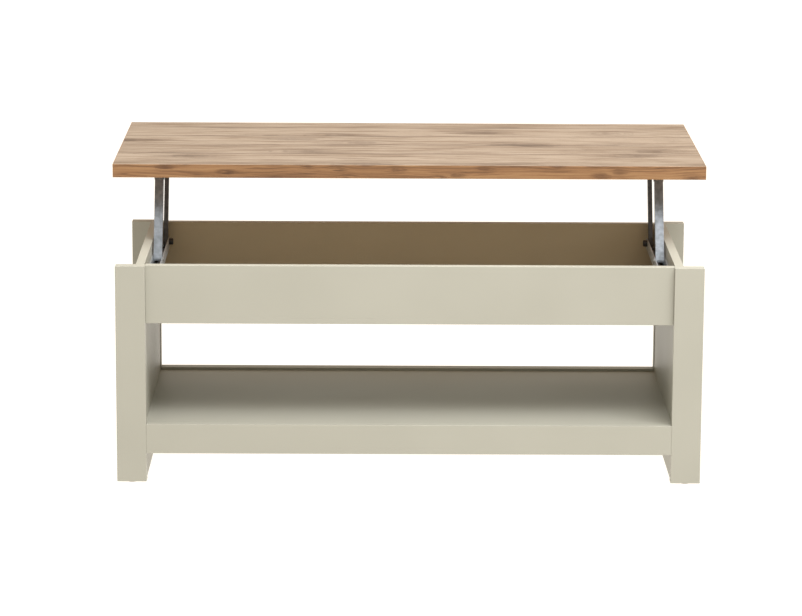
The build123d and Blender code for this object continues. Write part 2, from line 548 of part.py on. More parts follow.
# Top brackets: inverted U-channels under the top, with ears that hang inside the arms
near_top = (NEAR_PIVOT_Y + LEAN_Y, RAISED_Z - PIVOT_DROP)
far_top = (FAR_PIVOT_Y + LEAN_Y, RAISED_Z - PIVOT_DROP)
top_bracket_y = (near_top[0] - EAR_RADIUS, far_top[0] + EAR_LENGTH)
LOW_WALL = 5
for side, sx in SIDES.items():
    with BuildPart() as top_bracket:
        width_x = sorted((sx * INNER_EAR_X, sx * (OUTER_EAR_X + SHEET)))
        block(width_x, top_bracket_y, (RAISED_Z - SHEET, RAISED_Z))
        for wall_x, pivots in ((INNER_EAR_X, (near_top, far_top)), (OUTER_EAR_X, (near_top,))):
            start = slab_start(sx, wall_x, wall_x + SHEET)
            block((start, start + SHEET), top_bracket_y, (RAISED_Z - LOW_WALL, RAISED_Z))
            for pivot in pivots:
                with BuildSketch(Plane.YZ.offset(start)):
                    with Locations(pivot):
                        Circle(EAR_RADIUS)
                    with Locations((pivot[0] + EAR_LENGTH / 2, RAISED_Z - SHEET / 2)):
                        Rectangle(EAR_LENGTH, SHEET)
                    make_hull()
                extrude(amount=SHEET)
                rods_x([pivot], start, SHEET, PIN_RADIUS + RUNNING_FIT, Mode.SUBTRACT)
        screw_x = sx * (INNER_EAR_X + OUTER_EAR_X + SHEET) / 2
        screw_points = [(screw_x, near_top[0] + y) for y in TOP_SCREW_Y]
        screw_hole = SCREW_SHANK_RADIUS + 2 * CLEARANCE
        rods_z(screw_points, RAISED_Z - SHEET, SHEET, screw_hole, Mode.SUBTRACT)
    finish_node(top_bracket, f"{side}_top_bracket")

# Upper pivot rivets; the far ones are the open pivot of each linkage, with a looser hole in the arm
for label, pivot, outer_x in (
    ("near_top_rivets", near_top, ARM_OUT_X),
    ("far_top_rivets", far_top, FAR_ARM_OUT_X),
):
    with BuildPart() as top_rivets:
        for sx in (-1, 1):
            inner_end = NEAR_ARM_IN_X - HEAD_GAP - HEAD_HEIGHT
            outer_end = outer_x + HEAD_GAP + HEAD_HEIGHT
            start = slab_start(sx, inner_end, outer_end)
            rods_x([pivot], start, outer_end - inner_end, PIN_RADIUS)
            for head_x in (inner_end, outer_end - HEAD_HEIGHT):
                head_start = slab_start(sx, head_x, head_x + HEAD_HEIGHT)
                rods_x([pivot], head_start, HEAD_HEIGHT, HEAD_RADIUS)
    finish_node(top_rivets, label)

# Pan-head screws that hold the top brackets
TOP_SCREW_LENGTH = 14  # depth of its hole in the top
SCREW_HEAD_HEIGHT = 2.2
CROSS_DEPTH = 1.2
top_screw_points = [
    (sx * (INNER_EAR_X + OUTER_EAR_X + SHEET) / 2, near_top[0] + y) for sx in (-1, 1) for y in TOP_SCREW_Y
]
with BuildPart() as top_screws:
    head_z = RAISED_Z - SHEET - SCREW_HEAD_HEIGHT
    rods_z(top_screw_points, head_z, SCREW_HEAD_HEIGHT, SCREW_HEAD_RADIUS)
    fillet(top_screws.edges().group_by(Axis.Z)[0], radius=1)
    for x, y in top_screw_points:
        cross_recess(x, y, (head_z, head_z + CROSS_DEPTH), CROSS_REACH, CROSS_LINE)
    shank = SCREW_SHANK_RADIUS - RUNNING_FIT
    rods_z(top_screw_points, RAISED_Z - SHEET, SHEET + TOP_SCREW_LENGTH - 1, shank)
finish_node(top_screws, "top_screws")

# Bumpers: soft discs under the top that land on the four legs
BUMPER_RADIUS = 5
BUMPER_HEIGHT = 1.9
BUMPER_EDGE = 0.8
BAND_EDGE = 0.6
with BuildPart() as lid_bumpers:
    points = [(sx * LEG_MID_X, TOP_MID_Y + sy * LEG_MID_Y) for sx in (-1, 1) for sy in (-1, 1)]
    rods_z(points, RAISED_Z - BUMPER_HEIGHT, BUMPER_HEIGHT, BUMPER_RADIUS)
    fillet(lid_bumpers.edges().group_by(Axis.Z)[0], radius=BUMPER_EDGE)
finish_node(lid_bumpers, "lid_bumpers")

# The top: a thick board with a thin band on each of its four edges
core_x = TOP_LENGTH / 2 - EDGE_BAND
core_y = TOP_WIDTH / 2 - EDGE_BAND
top_z = (RAISED_Z, RAISED_Z + TOP_THICKNESS)
with BuildPart() as top_board:
    block((-core_x, core_x), (TOP_MID_Y - core_y, TOP_MID_Y + core_y), top_z)
    rods_z(top_screw_points, RAISED_Z, TOP_SCREW_LENGTH, SCREW_SHANK_RADIUS, Mode.SUBTRACT)
finish_node(top_board, "top_board")

with BuildPart() as edge_bands:
    for sy in (-1, 1):
        band_y = sorted((TOP_MID_Y + sy * core_y, TOP_MID_Y + sy * TOP_WIDTH / 2))
        block((-TOP_LENGTH / 2, TOP_LENGTH / 2), band_y, top_z)
    outer_edges = edge_bands.edges().filter_by(Axis.X).group_by(Axis.Y)
    fillet(outer_edges[0] + outer_edges[-1], radius=BAND_EDGE)
    end_y = (TOP_MID_Y - core_y + BAND_JOINT, TOP_MID_Y + core_y - BAND_JOINT)
    for sx in (-1, 1):
        block(sorted((sx * core_x, sx * TOP_LENGTH / 2)), end_y, top_z)
finish_node(edge_bands, "edge_bands")
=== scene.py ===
# %% [markdown]
# A coffee table whose oak top swings up over a storage tray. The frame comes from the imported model:
# every board, arm, rivet and screw is already in place and at its real size. This script adds what a
# model of shapes can't hold: the finishes, the coiled springs, the light and the view. It could also
# rebuild each board here, but then sizes would be kept twice, so the frame's own meshes are used.

# %% Load the frame
import math

import bpy
from mathutils import Matrix, Vector


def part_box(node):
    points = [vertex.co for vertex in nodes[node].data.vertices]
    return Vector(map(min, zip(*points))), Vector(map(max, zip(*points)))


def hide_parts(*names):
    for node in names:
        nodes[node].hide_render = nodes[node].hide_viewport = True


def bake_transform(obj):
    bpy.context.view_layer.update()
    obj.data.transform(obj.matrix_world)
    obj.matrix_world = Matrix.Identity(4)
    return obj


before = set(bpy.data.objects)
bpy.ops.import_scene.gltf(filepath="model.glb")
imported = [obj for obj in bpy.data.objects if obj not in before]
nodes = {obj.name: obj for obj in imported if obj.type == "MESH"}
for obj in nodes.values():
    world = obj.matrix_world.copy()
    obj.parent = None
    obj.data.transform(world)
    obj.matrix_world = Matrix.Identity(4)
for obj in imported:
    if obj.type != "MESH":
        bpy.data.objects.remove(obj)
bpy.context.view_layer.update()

# %% [markdown]
# Colours are written as the hex values that a paint chart or a colour picker shows. Blender's shaders
# count light, so each value is turned to linear first. One function does it for every colour here.

# %% Colours


def colour(hex_value):
    """An sRGB hex colour as the linear red, green, blue and alpha that a shader socket takes."""
    parts = [int(hex_value[i : i + 2], 16) / 255 for i in (1, 3, 5)]
    linear = [p / 12.92 if p <= 0.04045 else ((p + 0.055) / 1.055) ** 2.4 for p in parts]
    return (*linear, 1.0)


print("cream in linear light:", [round(c, 3) for c in colour("#cec8b4")[:3]])

# %% [markdown]
# A finish is a small network of nodes. They could be wired by hand in the editor, but a script that
# adds each node with its settings and its links in one call reads like a recipe: what kind it is,
# what feeds it, and what it is set to. A value may be a number, a colour, a socket or another node.

# %% Adding shader nodes


def feed(tree, node, values):
    """Sets a node's properties and sockets; a socket or node given as a value is linked instead."""
    for key, value in values.items():
        if isinstance(value, bpy.types.Node):
            value = value.outputs[0]
        if isinstance(value, bpy.types.NodeSocket):
            tree.links.new(value, node.inputs[key])
        elif isinstance(key, str) and key in node.bl_rna.properties:
            setattr(node, key, value)
        else:
            node.inputs[key].default_value = value


def add(tree, kind, *inputs, **settings):
    """Adds a shader node: inputs fill its sockets in order, settings go by name."""
    node = tree.nodes.new("ShaderNode" + kind)
    feed(tree, node, {**settings, **dict(enumerate(inputs))})
    return node


def finish(name, **sockets):
    """Starts a material with a Principled shader whose sockets hold one value all over."""
    material = bpy.data.materials.new(name)
    material.use_nodes = True
    tree = material.node_tree
    tree.nodes.clear()
    shader = add(tree, "BsdfPrincipled", **sockets)
    add(tree, "OutputMaterial", shader)
    return material, tree, shader


def two_tones(tree, amount, tones, start=0.35, end=0.65):
    """A ramp from one tone to another as amount goes from start to end."""
    ramp = add(tree, "ValToRGB", amount)
    stops = ramp.color_ramp.elements
    stops[0].position, stops[1].position = start, end
    stops[0].color, stops[1].color = colour(tones[0]), colour(tones[1])
    return ramp


def paint(material, *names):
    """Gives a finish to nodes of the frame."""
    for name in names:
        slots = nodes[name].data.materials
        slots.clear()
        slots.append(material)
    print(material.name, "on", len(names), "nodes")


MM = 0.001
SIDES = ("left", "right")
SOFT = {"interpolation_type": "SMOOTHSTEP"}  # for a MapRange whose ends ease in and out
MIX_A, MIX_B, MIX_OUT = 6, 7, 2  # the Mix node's sockets for colours

# %% [markdown]
# The view: a long lens far in front, looking down by about twelve degrees, so that the top, the front
# edges, the tray's back wall and the shelf all show at once. A short lens from nearby would spread
# the legs apart and hide the tray. The lens isn't shifted, so the same camera can be moved round the
# table for other views.

# %% Camera
CAMERA_PLACE = Vector((-0.0526, -6.3513, 1.6379))
CAMERA_PITCH = math.radians(-12.067)
CAMERA_TURN = math.radians(-0.344)
CAMERA_ROLL = math.radians(-0.304)
SENSOR_WIDTH = 36
LENS = 154.3

camera = bpy.data.objects.new("camera", bpy.data.cameras.new("camera"))
camera.data.sensor_width = SENSOR_WIDTH
camera.data.lens = LENS
camera.data.clip_end = 60
camera.matrix_world = (
    Matrix.Translation(CAMERA_PLACE)
    @ Matrix.Rotation(CAMERA_TURN, 4, "Z")
    @ Matrix.Rotation(CAMERA_PITCH, 4, "X")
    @ Matrix.Rotation(CAMERA_ROLL, 4, "Y")
    @ Matrix.Rotation(math.pi / 2, 4, "X")
)
bpy.context.scene.collection.objects.link(camera)
bpy.context.scene.camera = camera
print("camera", round(CAMERA_PLACE.length, 2), "m away with a", LENS, "mm lens")

# %% [markdown]
# The light: one large soft box above and in front of the table casts the broad soft shadow of the
# top on the tray and of the upper rail on the shelf. A second one straight above brightens the upper
# edges, a weak one from the right lifts that end, and pale surroundings fill the shadows. A bare
# lamp would draw hard shadow edges, which furniture pictures avoid.

# %% Lights
KEY_ELEVATION = math.radians(52)
KEY_TURN = math.radians(30)
KEY_DISTANCE = 4.2
KEY_SIZE = (3.2, 1.5)
KEY_POWER = 181
KEY_TINT = "#fafcff"
OVER_PLACE = Vector((0.15, 0.1, 3.2))
OVER_SIZE = (2.4, 1.6)
OVER_POWER = 54
SIDE_PLACE = Vector((2.6, -0.4, 1.3))
SIDE_SIZE = (1.2, 1.2)
SIDE_POWER = 8
SURROUND_LOW, SURROUND_HIGH = 0.46, 0.98  # at the horizon and overhead
SURROUND_TOP = 0.8  # height on the unit sphere where they reach full brightness
SURROUND_TINT = "#fff8ea"  # warm walls
AIM = Vector((0, 0.05, 0.3))


def soft_box(name, place, size, power):
    """A rectangular area light that faces the table."""
    data = bpy.data.lights.new(name, "AREA")
    data.shape = "RECTANGLE"
    data.size, data.size_y = size
    data.energy = power
    light = bpy.data.objects.new(name, data)
    light.location = place
    light.rotation_euler = (AIM - place).to_track_quat("-Z", "Y").to_euler()
    bpy.context.scene.collection.objects.link(light)
    return light


key_way = Vector((
    math.sin(KEY_TURN) * math.cos(KEY_ELEVATION),
    -math.cos(KEY_TURN) * math.cos(KEY_ELEVATION),
    math.sin(KEY_ELEVATION),
))
key_light = soft_box("key_light", AIM + key_way * KEY_DISTANCE, KEY_SIZE, KEY_POWER)
key_light.data.color = colour(KEY_TINT)[:3]
soft_box("overhead_light", OVER_PLACE, OVER_SIZE, OVER_POWER)
soft_box("side_light", SIDE_PLACE, SIDE_SIZE, SIDE_POWER)

world = bpy.data.worlds.new("pale_studio")
world.use_nodes = True
sky = world.node_tree
direction = add(sky, "SeparateXYZ", add(sky, "TexCoord").outputs["Generated"])
glow = add(sky, "MapRange", direction.outputs["Z"], 0.0, SURROUND_TOP, SURROUND_LOW, SURROUND_HIGH)
feed(sky, sky.nodes["Background"], {"Color": colour(SURROUND_TINT), "Strength": glow})
bpy.context.scene.world = world
bpy.context.scene.view_settings.view_transform = "Standard"

print("key light", KEY_POWER, "W at", KEY_DISTANCE, "m, overhead light", OVER_POWER, "W")

# %% [markdown]
# The floor is a sheet of white paper that glows by itself, as a lit paper sweep does, so it stays
# white and keeps only a trace of a shadow. A plain white floor would turn grey away from the lights.

# %% Floor
FLOOR_HALF = 20  # m
FLOOR_GLOW = 1.18
FLOOR_TINT = "#fff8ee"
PAPER = "#4d4d4d"  # dark enough that shadows hardly show against the glow

floor_mesh = bpy.data.meshes.new("floor")
corners = [(-1, -1), (1, -1), (1, 1), (-1, 1)]
points = [(x * FLOOR_HALF, y * FLOOR_HALF, 0) for x, y in corners]
floor_mesh.from_pydata(points, [], [(0, 1, 2, 3)])
floor = bpy.data.objects.new("floor", floor_mesh)
bpy.context.scene.collection.objects.link(floor)
paper, paper_tree, paper_shader = finish("lit_white_paper_sweep", Roughness=1.0)
glow_of_paper = {"Emission Color": colour(FLOOR_TINT), "Emission Strength": FLOOR_GLOW}
paper_look = {"Base Color": colour(PAPER), "Specular IOR Level": 0.0, **glow_of_paper}
feed(paper_tree, paper_shader, paper_look)
floor_mesh.materials.append(paper)
print("floor", 2 * FLOOR_HALF, "m wide")

# %% [markdown]
# The base is fibreboard and particle board wrapped in a cream lacquer-like foil. It is smooth and
# satin: what the eye gets is a soft highlight, a barely uneven tone from board to board and a very
# fine orange-peel in the reflection. A flat colour would look like plastic, so a broad noise shifts
# the tone by a percent or two and a fine one raises the skin by hundredths of a millimetre. On the
# tray's two long walls the faces towards the inside get a browner tone. It is painted warm shade,
# standing for the shade under the oak top and the brown light that the top bounces into the tray.

# %% Cream satin foil
FOIL_PEEL = 1.2  # mm between the bumps of the skin; the real one is finer than a render can show
PEEL_HEIGHT = 0.03  # mm
FOIL_CLOUD = 180  # mm across a cloud of slightly different tone
FOIL_TONES = ("#a4a296", "#a8a69a")
# painted warm shade: a browner cream that stands for the shade and brown bounce under the oak top on
# the tray walls' inward faces
PAINTED_WARM_SHADE_TONES = ("#ae9f83", "#b2a387")
FOIL_GLOSS = (0.42, 0.49)  # roughness from the darker to the lighter clouds
CLOUD_SPAN = (0.3, 0.7)  # the part of the noise's range that is used
SATIN_IOR = 1.46
STRAIGHT_AT = 0.9  # cosine of the angle to the shaded side, beyond which a face gets the painted warm shade tone


def cream_foil(name, painted_shade_side=0):
    """Cream satin foil; painted_shade_side is 1 or -1 when the faces towards the back or the front
    get a painted warm shade.
    """
    material, tree, shader = finish(name, IOR=SATIN_IOR)
    place = add(tree, "TexCoord").outputs["Object"]
    cloud = add(tree, "TexNoise", place, Scale=1 / (FOIL_CLOUD * MM), Detail=2)
    tone = two_tones(tree, cloud, FOIL_TONES, *CLOUD_SPAN)
    # the faces towards the inside of the tray get the painted warm shade tone
    if painted_shade_side:
        normal = add(tree, "NewGeometry").outputs["Normal"]
        facing = add(tree, "VectorMath", normal, (0, painted_shade_side, 0), operation="DOT_PRODUCT")
        inward = add(tree, "Math", facing.outputs["Value"], STRAIGHT_AT, operation="GREATER_THAN")
        mixed = add(tree, "Mix", inward, data_type="RGBA")
        feed(tree, mixed, {MIX_A: tone, MIX_B: two_tones(tree, cloud, PAINTED_WARM_SHADE_TONES, *CLOUD_SPAN)})
        tone = mixed.outputs[MIX_OUT]
    peel = add(tree, "TexNoise", place, Scale=1 / (FOIL_PEEL * MM), Detail=3)
    bump = add(tree, "Bump", Strength=0.12, Distance=PEEL_HEIGHT * MM, Height=peel)
    rough = add(tree, "MapRange", cloud, *CLOUD_SPAN, *FOIL_GLOSS)
    feed(tree, shader, {"Base Color": tone, "Roughness": rough, "Normal": bump})
    return material


legs = [f"{end}_{side}_leg" for end in ("front", "back") for side in SIDES]
panels = [f"{side}_end_panel" for side in SIDES]
boards = ["lower_front_rail", "lower_back_rail", "shelf", "tray_bottom"]
paint(cream_foil("cream_satin_foil_on_board"), *legs, *panels, *boards)
# the upper rails' faces towards the tray get painted warm shade
paint(cream_foil("cream_foil_painted_shade_behind", 1), "upper_front_rail")
paint(cream_foil("cream_foil_painted_shade_in_front", -1), "upper_back_rail")

# %% [markdown]
# The top is particle board under a printed oak foil: staves a hand wide, long streaks, growth rings,
# fine pores and a few knots that the grain flows round. A scanned picture of oak would be the quick
# way; here the grain is drawn by noise that is stretched along the board, so it stays sharp close up
# and never repeats. All of it is in millimetres along and across the grain.

# %% Sizes of the oak's grain
STAVE = 104  # mm
BAND = (620, 46)  # a broad band of tone
STREAK = (240, 13)
FIBRE = (100, 9)
PORE = (12, 0.7)  # real pores are finer than a render can show
CRUMB = (26, 8)  # the ragged outline of a knot
MINERAL = (170, 8)  # scattered dark streaks
JOINT = 6  # the darkened line between two staves
RINGS = 9  # growth rings that show as contour lines across a broad band
RAGGED = 0.62  # how much of a streak's shape is in its small details
STAVE_SHIFT = 7.0  # m, so that no two staves show the same part of the pattern


def grain(tree, along, line, size, detail, seed):
    """Noise stretched along the grain, from 0 to 1; size is its length and width."""
    run = add(tree, "Math", along, size[0] * MM, operation="DIVIDE")
    rise = add(tree, "Math", line, size[1] * MM, operation="DIVIDE")
    spot = add(tree, "CombineXYZ", run, rise, seed)
    return add(tree, "TexNoise", spot, Scale=1.0, Detail=detail, Roughness=RAGGED)


print("a stave shows about", round(STAVE / STREAK[1]), "streaks across")

# %% [markdown]
# Knots sit in the cells of a Voronoi pattern, and only in some of them. Its Position output gives the
# middle of the nearest cell, and from that come a knot's distance, its side and how hard it pushes
# the lines of the grain aside. Knots modelled as separate spots would need a list of places.

# %% Knots
KNOT_OFFSET = 0.3  # of a cell, so that knots don't sit on a joint
KNOT_PUSH = 0.16  # of a cell's width, how far a line is moved aside at most
KNOT_REACH = 0.5  # of a cell, where a knot stops moving the lines
KNOT_HEART = 0.04  # of a cell; nearer than this, the push turns smoothly from one side to the other
KNOT_EASE = 0.02  # of the cells, how many have a faint knot
WANDER = (3.5, 9.0)  # turns per metre along and across of a line's slow wander
WANDER_WIDTH = 0.022  # m


def knots(tree, along, across, cell, share):
    """Each point's distance from the nearest knot in cells, whether that cell has one (share of
    them do), how near it is from 0 to 1, and how far it moves the grain's lines, in metres."""
    run = add(tree, "Math", along, cell[0] * MM, operation="DIVIDE")
    rise = add(tree, "Math", across, cell[1] * MM, operation="DIVIDE")
    spot = add(tree, "CombineXYZ", run, add(tree, "Math", rise, KNOT_OFFSET, operation="ADD"), 0.0)
    cells = add(tree, "TexVoronoi", spot, voronoi_dimensions="2D", Scale=1.0)
    away = add(tree, "VectorMath", spot, cells.outputs["Position"], operation="SUBTRACT")
    reach = add(tree, "VectorMath", away, operation="LENGTH").outputs["Value"]
    aside = add(tree, "SeparateXYZ", away).outputs["Y"]
    draw = add(tree, "SeparateColor", cells.outputs["Color"])
    present = add(tree, "MapRange", draw, 1.0 - share, 1.0 - share + KNOT_EASE, 0.0, 1.0, **SOFT)
    close = add(tree, "MapRange", reach, KNOT_REACH, 0.0, 0.0, 1.0, **SOFT)
    near = add(tree, "Math", close, present, operation="MULTIPLY")
    size = add(tree, "Math", aside, operation="ABSOLUTE")
    softened = add(tree, "Math", size, KNOT_HEART, operation="ADD")
    side = add(tree, "Math", aside, softened, operation="DIVIDE")
    turned = add(tree, "Math", side, near, operation="MULTIPLY")
    push = add(tree, "Math", turned, -KNOT_PUSH * cell[1] * MM, operation="MULTIPLY")
    return reach, present, near, push


def wandering_lines(tree, along, across, number, push):
    """The position across the grain after the slow wander and the knots have moved its lines."""
    run = add(tree, "Math", along, WANDER[0], operation="MULTIPLY")
    rise = add(tree, "Math", across, WANDER[1], operation="MULTIPLY")
    noise = add(tree, "TexNoise", add(tree, "CombineXYZ", run, rise, number), Scale=1.0, Detail=3)
    centred = add(tree, "Math", noise, 0.5, operation="SUBTRACT")
    drift = add(tree, "Math", centred, WANDER_WIDTH, operation="MULTIPLY")
    pushed = add(tree, "Math", across, push, operation="ADD")
    return add(tree, "Math", pushed, drift, operation="ADD")


print("a line wanders by", WANDER_WIDTH / MM / 2, "mm to each side at most")

# %% [markdown]
# The tone of oak is a mixture: broad bands, streaks and fibres together choose a colour on a ramp of
# three, and each stave is a shade lighter or darker than the next. Over that come the dark marks,
# each a factor below 1: knots, pores, mineral streaks, the rings' late wood and the joints. Blue is
# darkened most, because stained wood turns redder as it gets darker.

# %% Tone and dark marks
SHARES = {"streaks": 0.40, "bands": 0.22, "fibres": 0.38}  # of each in the tone
STAVE_CONTRAST = 0.05
RAMP_STOPS = (0.41, 0.49, 0.58)
RAGGED_RIM = 1.3  # how far crumbs reach into and out of a knot's outline
STAIN = (1.0, 1.15, 1.25)  # powers of the darkening in red, green and blue
# Each mark eases from one level of its noise to another, and from one factor to another.
PORE_MARK = (0.30, 0.42, 0.84, 1.0)
MINERAL_MARK = (0.57, 0.70, 1.0, 0.78)
CORE_MARK = (0.20, 0.02, 0.0, 0.75)  # by the distance from the knot, in cells
SPLIT_MARK = (0.44, 0.56, 0.0, 1.0)
RING_START, RING_END = (0.55, 0.95, 0.0, 1.0), (1.0, 0.95, 0.0, 1.0)  # by the share of a ring
RING_BREAKS = (0.40, 0.58, 0.34, 0.04)
RING_BEND = 0.25  # how much the streaks bend the rings
JOINT_MARK = (0.0, JOINT / STAVE, 0.62, 1.0)  # by the distance from the joint, in staves


def weighted(tree, parts):
    """The sum of noises, each multiplied by its share."""
    total = 0.0
    for part, share in parts:
        scaled = add(tree, "Math", part, share, operation="MULTIPLY")
        total = add(tree, "Math", total, scaled, operation="ADD")
    return total


def multiplied(tree, factors):
    """The product of several dark marks."""
    total = factors[0]
    for factor in factors[1:]:
        total = add(tree, "Math", total, factor, operation="MULTIPLY")
    return total


def knot_mark(tree, knot, crumbs, minerals, depth):
    """1 away from knots; at a knot, a dark ragged core and split lines round it."""
    reach, present, near, _ = knot
    centred = add(tree, "Math", crumbs, 0.5, operation="SUBTRACT")
    crumbled = add(tree, "Math", centred, RAGGED_RIM, operation="MULTIPLY")
    ragged = add(tree, "Math", reach, crumbled, operation="ADD")
    inside = add(tree, "MapRange", ragged, *CORE_MARK, **SOFT)
    core = add(tree, "Math", inside, present, operation="MULTIPLY")
    lines = add(tree, "MapRange", minerals, *SPLIT_MARK, **SOFT)
    split = add(tree, "Math", near, lines, operation="MULTIPLY")
    darker = add(tree, "Math", core, split, operation="MAXIMUM")
    taken = add(tree, "Math", darker, depth, operation="MULTIPLY")
    return add(tree, "Math", 1.0, taken, operation="SUBTRACT")


def ring_mark(tree, bands, streaks, fibres):
    """The late wood of the growth rings: a line that darkens slowly and ends sharply."""
    bent = add(tree, "Math", streaks, RING_BEND, operation="MULTIPLY")
    level = add(tree, "Math", bands, bent, operation="ADD")
    turns = add(tree, "Math", level, RINGS, operation="MULTIPLY")
    ring = add(tree, "Math", turns, operation="FRACT")
    start = add(tree, "MapRange", ring, *RING_START, **SOFT)
    end = add(tree, "MapRange", ring, *RING_END, **SOFT)
    late = add(tree, "Math", start, end, operation="MULTIPLY")
    broken = add(tree, "MapRange", fibres, *RING_BREAKS, **SOFT)
    taken = add(tree, "Math", late, broken, operation="MULTIPLY")
    return add(tree, "Math", 1.0, taken, operation="SUBTRACT")


def joint_mark(tree, stave):
    """A darkened line on both sides of the joint between two staves."""
    part = add(tree, "Math", stave, operation="FRACT")
    rest = add(tree, "Math", 1.0, part, operation="SUBTRACT")
    rim = add(tree, "Math", part, rest, operation="MINIMUM")
    return add(tree, "MapRange", rim, *JOINT_MARK, **SOFT)


print("marks of a stave's joint reach", JOINT, "mm into it")

# %% [markdown]
# The same recipe makes the top and its edge bands. The band is a strip of the same print with finer
# lines and smaller knots, because it is cut from foil meant for edges. Its tones are browner than the
# top's. That is partly its own foil and partly because the top's lighter, greyer tones hold painted
# sheen, the whitish reflection that its face gives when seen at a low angle. The underside has a
# plain brown foil, which keeps the board from warping.

# %% Oak foil
# the top's tones are lighter and greyer than the band's: part of this is painted sheen of the top's
# grazing reflection
TOP_TONES_AND_SHEEN = ("#7a644f", "#8e7a67", "#9b8875")
BAND_TONES = ("#775435", "#8c6541", "#9b754e")
BACKING = "#b98f66"
OAK_GLOSS = (0.54, 0.44)  # roughness from the dark to the light fibres
PORE_DEPTH = 0.08  # mm
FACES_DOWN = -0.5  # a face whose normal's height is below this is on the underside


def oak(name, tones, across_axis, staves, knot_cell, knot_share, knot_depth, fine):
    """Oak-print finish. tones go from dark to light, staves says whether the print shows staves
    side by side, and fine is the width of its lines as a share of the board's."""
    material, tree, shader = finish(name, IOR=1.5)
    place = add(tree, "SeparateXYZ", add(tree, "TexCoord").outputs["Object"])
    across, along = place.outputs[across_axis], place.outputs["X"]
    if staves:
        stave = add(tree, "Math", across, STAVE * MM, operation="DIVIDE")
    else:  # the bands run along X on the long edges and along Y on the short ones
        along = add(tree, "Math", along, place.outputs["Y"], operation="ADD")
        stave = 0.5
    number = add(tree, "Math", stave, operation="FLOOR")
    chance = add(tree, "TexWhiteNoise", noise_dimensions="1D", W=number)
    jump = add(tree, "Math", chance, STAVE_SHIFT, operation="MULTIPLY")
    along = add(tree, "Math", along, jump, operation="ADD")

    knot = knots(tree, along, across, knot_cell, knot_share)
    line = wandering_lines(tree, along, across, number, knot[3])
    bands, streaks, fibres, pores, minerals, crumbs = (
        grain(tree, along, line, (size[0], size[1] * fine), detail, seed)
        for size, detail, seed in (
            (BAND, 2, 4.1), (STREAK, 5, 1.3), (FIBRE, 4, 7.7),
            (PORE, 1, 11.9), (MINERAL, 5, 17.3), (CRUMB, 3, 23.1),
        )
    )

    offset = add(tree, "Math", chance, 0.5, operation="SUBTRACT")
    noises = ((streaks, SHARES["streaks"]), (bands, SHARES["bands"]), (fibres, SHARES["fibres"]))
    level = weighted(tree, (*noises, (offset, STAVE_CONTRAST if staves else 0.0)))
    ramp = two_tones(tree, level, (tones[0], tones[2]), RAMP_STOPS[0], RAMP_STOPS[2])
    ramp.color_ramp.elements.new(RAMP_STOPS[1]).color = colour(tones[1])

    marks = [
        knot_mark(tree, knot, crumbs, minerals, knot_depth),
        add(tree, "MapRange", pores, *PORE_MARK, **SOFT),
        add(tree, "MapRange", minerals, *MINERAL_MARK, **SOFT),
        ring_mark(tree, bands, streaks, fibres),
    ]
    if staves:
        marks.append(joint_mark(tree, stave))
    dark = multiplied(tree, marks)
    stains = [add(tree, "Math", dark, power, operation="POWER") for power in STAIN]
    tinted = add(tree, "Mix", 1.0, data_type="RGBA", blend_type="MULTIPLY")
    feed(tree, tinted, {MIX_A: ramp, MIX_B: add(tree, "CombineColor", *stains)})
    if staves:
        normal = add(tree, "SeparateXYZ", add(tree, "NewGeometry").outputs["Normal"])
        below = add(tree, "Math", normal.outputs["Z"], FACES_DOWN, operation="LESS_THAN")
        printed = tinted.outputs[MIX_OUT]
        tinted = add(tree, "Mix", below, data_type="RGBA")
        feed(tree, tinted, {MIX_A: printed, MIX_B: colour(BACKING)})
    rough = add(tree, "MapRange", fibres, *CLOUD_SPAN, *OAK_GLOSS, **SOFT)
    bump = add(tree, "Bump", Strength=0.3, Distance=PORE_DEPTH * MM, Height=dark)
    look = {"Base Color": tinted.outputs[MIX_OUT], "Roughness": rough, "Normal": bump}
    feed(tree, shader, look)
    return material


board_print = oak(
    "oak_print_on_board", TOP_TONES_AND_SHEEN, "Y", staves=True,
    knot_cell=(230, 104), knot_share=0.55, knot_depth=0.42, fine=1.0,
)
band_print = oak(
    "oak_print_edge_band", BAND_TONES, "Z", staves=False,
    knot_cell=(58, 25), knot_share=0.7, knot_depth=0.52, fine=0.34,
)
paint(board_print, "top_board")
paint(band_print, "edge_bands")

# %% [markdown]
# The lift arms and brackets are pressed from sheet steel and zinc plated in bulk. The plating is dull
# and slightly cloudy, with faint marks along the way the sheet was rolled. Polished chrome would be
# too bright, and painted grey would lose the soft reflections.

# %% Zinc-plated steel
ZINC_CLOUD = 9  # mm across a cloud in the plating
ROLL_MARK = 0.8  # mm between rolling marks; drawn coarse enough to show
ROLL_STRETCH = 25  # a mark's length over its width
ROLL_DEPTH = 0.03  # mm
CLOUD_GLOSS = 0.06  # how far the clouds raise and lower the roughness
FILMED = 0.6  # the passivation film on pressed parts scatters some light, so they're not all metal


def plated_steel(name, tones, roughness, metallic=1.0):
    """Dull plated steel with clouds in its tone and roughness and faint rolling marks."""
    material, tree, shader = finish(name, Metallic=metallic)
    place = add(tree, "TexCoord").outputs["Object"]
    cloud = add(tree, "TexNoise", place, Scale=1 / (ZINC_CLOUD * MM), Detail=4)
    dull, bright = roughness + CLOUD_GLOSS, roughness - CLOUD_GLOSS
    rough = add(tree, "MapRange", cloud, *CLOUD_SPAN, dull, bright)
    stretched = add(tree, "Mapping", place, Scale=(1, 1, 1 / ROLL_STRETCH))
    marks = add(tree, "TexNoise", stretched, Scale=1 / (ROLL_MARK * MM), Detail=2)
    bump = add(tree, "Bump", Strength=0.15, Distance=ROLL_DEPTH * MM, Height=marks)
    look = {"Base Color": two_tones(tree, cloud, tones), "Roughness": rough, "Normal": bump}
    feed(tree, shader, look)
    return material


